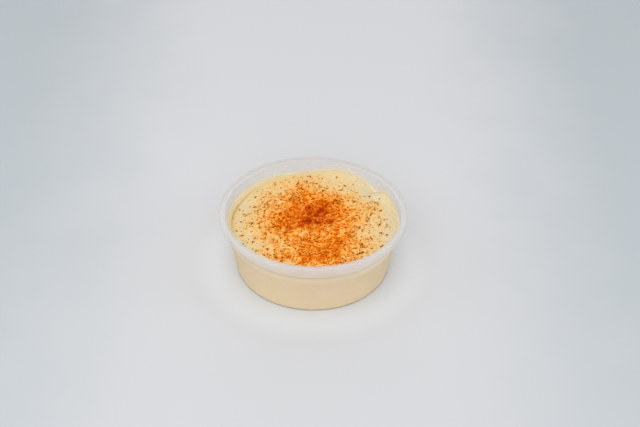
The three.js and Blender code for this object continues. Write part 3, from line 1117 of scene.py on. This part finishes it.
def calc(tree, operation, a, b=0.0, clamp=False):
    node = add_node(tree, "ShaderNodeMath", {"operation": operation, "use_clamp": clamp})
    set_or_link(tree, node.inputs[0], a)
    set_or_link(tree, node.inputs[1], b)
    return node.outputs[0]


def plus(tree, a, b):
    return calc(tree, "ADD", a, b)


def times(tree, a, b):
    return calc(tree, "MULTIPLY", a, b)


def one_minus(tree, value):
    return calc(tree, "SUBTRACT", 1.0, value)


def stretch(tree, value, low, high, new_low=0.0, new_high=1.0):
    """Maps low to new_low and high to new_high, softly, and holds the value between them."""
    smooth = {"interpolation_type": "SMOOTHSTEP"}
    ends = {"From_Min": low, "From_Max": high, "To_Min": new_low, "To_Max": new_high}
    node = add_node(tree, "ShaderNodeMapRange", smooth, {"Value": value}, **ends)
    return node.outputs["Result"]


def patchy(tree, value, spacing, detail, contrast):
    """The value, made a little more here and a little less there."""
    uneven = calc(tree, "SUBTRACT", noise(tree, spacing, detail), 0.5)
    return times(tree, value, plus(tree, times(tree, uneven, contrast), 1.0))


def wander(tree, spacing, detail, low, high):
    return stretch(tree, noise(tree, spacing, detail), *NOISE_RANGE, low, high)


def add_bump(tree, shader, height, distance, strength):
    values = {"Distance": distance * METRES, "Strength": strength}
    node = add_node(tree, "ShaderNodeBump", links={"Height": height}, **values)
    feed(tree, shader, "Normal", node.outputs["Normal"])


# ---- Materials ----

def plastic_colour(tree, cloud, parts):
    outer = mix(tree, cloud, *OUTER_PLASTIC)
    inner = mix(tree, parts["flare"], INNER_PLASTIC, FLARED_PLASTIC)
    clear = mix(tree, parts["inside"], outer, inner)
    milky = mix(tree, cloud, *MILKY_PLASTIC)
    colour = mix(tree, parts["filled"], clear, milky)
    # Painted light under the shoulder and on the right of the wall, and painted shade along the
    # shoulder.
    for part, strength, tone in PAINTED_PLASTIC_LIGHT_AND_SHADE:
        colour = mix(tree, times(tree, parts[part], strength), colour, tone)
    smeared = stretch(tree, parts["smear"], low=0.0, high=0.8)
    colour = mix(tree, smeared, colour, SMEARED_PLASTIC)
    # Painted shadow on the foot's rounding.
    part, strength, tone = FOOT_SHADOW
    return mix(tree, times(tree, parts[part], strength), colour, tone)


def plastic_alpha(tree, cloud, parts):
    """How solid the plastic looks, and more so where light and shade are painted on it. The clear
    rest lets the paste or the floor show.
    """
    alpha = stretch(tree, cloud, *NOISE_RANGE, *PLASTIC_ALPHA)
    for part, gain in ALPHA_GAINS.items():
        alpha = plus(tree, alpha, times(tree, parts[part], gain))
    smeared = stretch(tree, parts["smear"], low=0.0, high=1.2, new_high=0.5)
    return calc(tree, "ADD", alpha, smeared, clamp=True)


def frosted_material():
    material, tree, shader = new_material("frosted_plastic", IOR=1.49, Specular_IOR_Level=0.3)
    names = ("ledge", "under_ledge", "filled", "inside", "flare", "pale", "smear", "foot", "dense")
    parts = {name: attribute(tree, name) for name in names}
    parts["smear"] = patchy(tree, parts["smear"], spacing=2.2, detail=4, contrast=0.8)
    parts["dense"] = times(tree, parts["dense"], one_minus(tree, parts["inside"]))
    cloud = noise(tree, spacing=14, detail=3)
    feed(tree, shader, "Base Color", plastic_colour(tree, cloud, parts))
    feed(tree, shader, "Roughness", stretch(tree, cloud, *NOISE_RANGE, 0.55, 0.65))
    feed(tree, shader, "Alpha", plastic_alpha(tree, cloud, parts))
    waves = noise(tree, spacing=8, detail=2)
    add_bump(tree, shader, waves, distance=0.03, strength=0.2)
    return material


def cream_colour(tree):
    """The bare paste's colour: cloudy, and paler on the right, where x is 15 to 45 mm."""
    cream = ramp(tree, noise(tree, spacing=4, detail=4), CREAM_STOPS)
    for spacing, low, high, strength, tone in CREAM_CLOUDS:
        clouds = noise(tree, spacing, detail=2)
        clouds = stretch(tree, clouds, low, high, new_high=strength)
        cream = mix(tree, clouds, cream, tone)
    right = stretch(tree, object_axis(tree, "X"), 0.015, 0.045, new_high=0.6)
    return mix(tree, right, cream, RIGHT_CREAM)


def stained_colour(tree, stain):
    """The paste's colour under the finest dust: red in the heap, where the dust is thick, and dark
    red just behind the crest as painted shade.
    """
    stained = ramp(tree, stain, STAIN_STOPS)
    heap = attribute(tree, "dust_heap_and_shade")
    darkest = stretch(tree, heap, low=0.6, high=1.0)
    red = mix(tree, darkest, HEAP_AND_SHADE_RED, DARKEST_RED_AND_SHADE)
    thick = stretch(tree, stain, low=0.06, high=0.36, new_high=0.95)
    return mix(tree, times(tree, heap, thick), stained, red)


def paste_material():
    material, tree, shader = new_material(
        "hummus_paste",
        Subsurface_Weight=0.2,
        Subsurface_Radius=(1.0, 0.6, 0.25),
        Subsurface_Scale=1.2 * METRES,
        Specular_IOR_Level=0.06,
    )
    edge = times(tree, attribute(tree, "paste_edge"), 0.8)
    crease = times(tree, attribute(tree, "crease"), 0.85)
    open_top = attribute(tree, "open_top")
    cream = cream_colour(tree)
    cream = mix(tree, edge, cream, EDGE_CREAM)
    cream = mix(tree, one_minus(tree, open_top), cream, SIDE_CREAM)
    # Painted shade in the crease.
    cream = mix(tree, crease, cream, CREASE_SHADE)
    stain = attribute(tree, "stain")
    stain = patchy(tree, stain, spacing=1.1, detail=3, contrast=0.3)
    stained = stained_colour(tree, stain)
    covered = stretch(tree, stain, low=0.0, high=0.15)
    feed(tree, shader, "Base Color", mix(tree, covered, cream, stained))
    rough = wander(tree, spacing=1.2, detail=3, low=0.5, high=0.7)
    feed(tree, shader, "Roughness", rough)
    pits = noise(tree, spacing=0.5, detail=3)
    lumps = times(tree, noise(tree, spacing=1.6, detail=3), 1.5)
    height = times(tree, plus(tree, pits, lumps), open_top)
    add_bump(tree, shader, height, distance=0.09, strength=0.8)
    return material


def paprika_material():
    material, tree, shader = new_material("paprika", Roughness=0.85, Specular_IOR_Level=0.0)
    tint = attribute(tree, "tint")
    colour = ramp(tree, tint, PAPRIKA_STOPS)
    heaped = ramp(tree, tint, HEAPED_AND_SHADED_STOPS)
    loose = ramp(tree, tint, LOOSE_STOPS)
    # heap also carries the painted shade just behind the crest.
    colour = mix(tree, attribute(tree, "heap"), colour, heaped)
    colour = mix(tree, attribute(tree, "loose"), colour, loose)
    mottle = wander(tree, spacing=0.3, detail=2, low=0.0, high=0.25)
    feed(tree, shader, "Base Color", mix(tree, mottle, colour, PAPRIKA_MOTTLE))
    pits = noise(tree, spacing=0.15, detail=2)
    add_bump(tree, shader, pits, distance=0.03, strength=0.5)
    return material


def herb_material():
    material, tree, shader = new_material("dried_herb", Roughness=0.85, Specular_IOR_Level=0.0)
    colour = ramp(tree, attribute(tree, "tint"), HERB_STOPS)
    mottle = wander(tree, spacing=0.4, detail=3, low=0.0, high=0.4)
    feed(tree, shader, "Base Color", mix(tree, mottle, colour, HERB_MOTTLE))
    veins = noise(tree, spacing=0.2, detail=3)
    add_bump(tree, shader, veins, distance=0.04, strength=0.6)
    return material


def floor_material():
    """A pale floor with painted light: a little lighter at the back, lighter round the foot
    against the tub's shadow, and darker and bluer at the sides where the light falls off.

    Its reaches are in metres, because a shader reads the object's own coordinates.
    """
    material, tree, shader = new_material("pale_floor", Roughness=0.7, Specular_IOR_Level=0.15)
    uneven = wander(tree, spacing=60, detail=3, low=-0.01, high=0.01)
    back = plus(tree, object_axis(tree, "Y"), uneven)
    tone = mix(tree, stretch(tree, back, -0.2, 0.12), FRONT_FLOOR, BACK_FLOOR)
    side = plus(tree, calc(tree, "ABSOLUTE", object_axis(tree, "X")), uneven)
    tone = mix(tree, stretch(tree, side, 0.07, 0.23), tone, SIDE_FLOOR_SHADE)
    links = {"Vector": object_place(tree)}
    length = add_node(tree, "ShaderNodeVectorMath", {"operation": "LENGTH"}, links)
    reach = length.outputs["Value"]
    # Painted light in a ring just outside the foot, against the tub's shadow.
    past_foot = stretch(tree, reach, 0.0465, 0.0485)
    near = times(tree, past_foot, stretch(tree, reach, 0.055, 0.08, 1.0, 0.0))
    feed(tree, shader, "Base Color", mix(tree, near, tone, NEAR_FLOOR_LIGHT))
    return material


# ---- Stage, light and camera ----

def make_floor(material):
    half = FLOOR_HALF
    points = [(-half, -half, 0), (half, -half, 0), (half, half, 0), (-half, half, 0)]
    floor = new_piece("floor", points, [(0, 1, 2, 3)], [material])


def area_light(name, place, target, size, power, colour):
    light = bpy.data.lights.new(name, "AREA")
    light.shape = "SQUARE"
    light.size = size * METRES
    light.energy = power
    light.color = colour
    lamp = bpy.data.objects.new(name, light)
    lamp.location = Vector(place) * METRES
    direction = Vector(target) - Vector(place)
    lamp.rotation_euler = direction.to_track_quat("-Z", "Y").to_euler()
    bpy.context.scene.collection.objects.link(lamp)


def make_light():
    world = bpy.data.worlds.new("studio")
    world.use_nodes = True
    background = world.node_tree.nodes["Background"]
    background.inputs["Color"].default_value = SKY["colour"]
    background.inputs["Strength"].default_value = SKY["strength"]
    bpy.context.scene.world = world
    for light in LIGHTS:
        area_light(*light)


def make_camera():
    data = bpy.data.cameras.new("camera")
    data.lens = LENS
    data.sensor_width = SENSOR_WIDTH
    data.clip_start = CLIP_START
    data.clip_end = CLIP_END
    camera = bpy.data.objects.new("camera", data)
    tilt = Matrix.Rotation(math.radians(90 - CAMERA_DOWN), 4, "X")
    turn = tilt @ Matrix.Rotation(math.radians(CAMERA_ROLL), 4, "Z")
    camera.matrix_world = Matrix.Translation(Vector(CAMERA_PLACE) * METRES) @ turn
    bpy.context.scene.collection.objects.link(camera)
    bpy.context.scene.camera = camera


# ---- The scene ----

make_camera()
make_light()
make_floor(floor_material())
bpy.context.scene.view_settings.view_transform = "Standard"

tub = make_tub(frosted_material())
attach(tub, "root")
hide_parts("tub")

paprika = paprika_material()
herbs = herb_material()
flakes = flake_places(np.random.default_rng(FLAKE_TINT_SEED))
specks = speck_places(np.random.default_rng(SPECK_PLACE_SEED))
haloed = [flake[:3] for flake in flakes] + list(zip(*specks))
paste = make_hummus(paste_material(), haloed)
toppings = [*make_paprika(paprika), make_flakes(flakes, herbs), make_specks(specks, herbs)]
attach(paste, "root")
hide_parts("hummus")
for topping in toppings:
    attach(topping, "root")
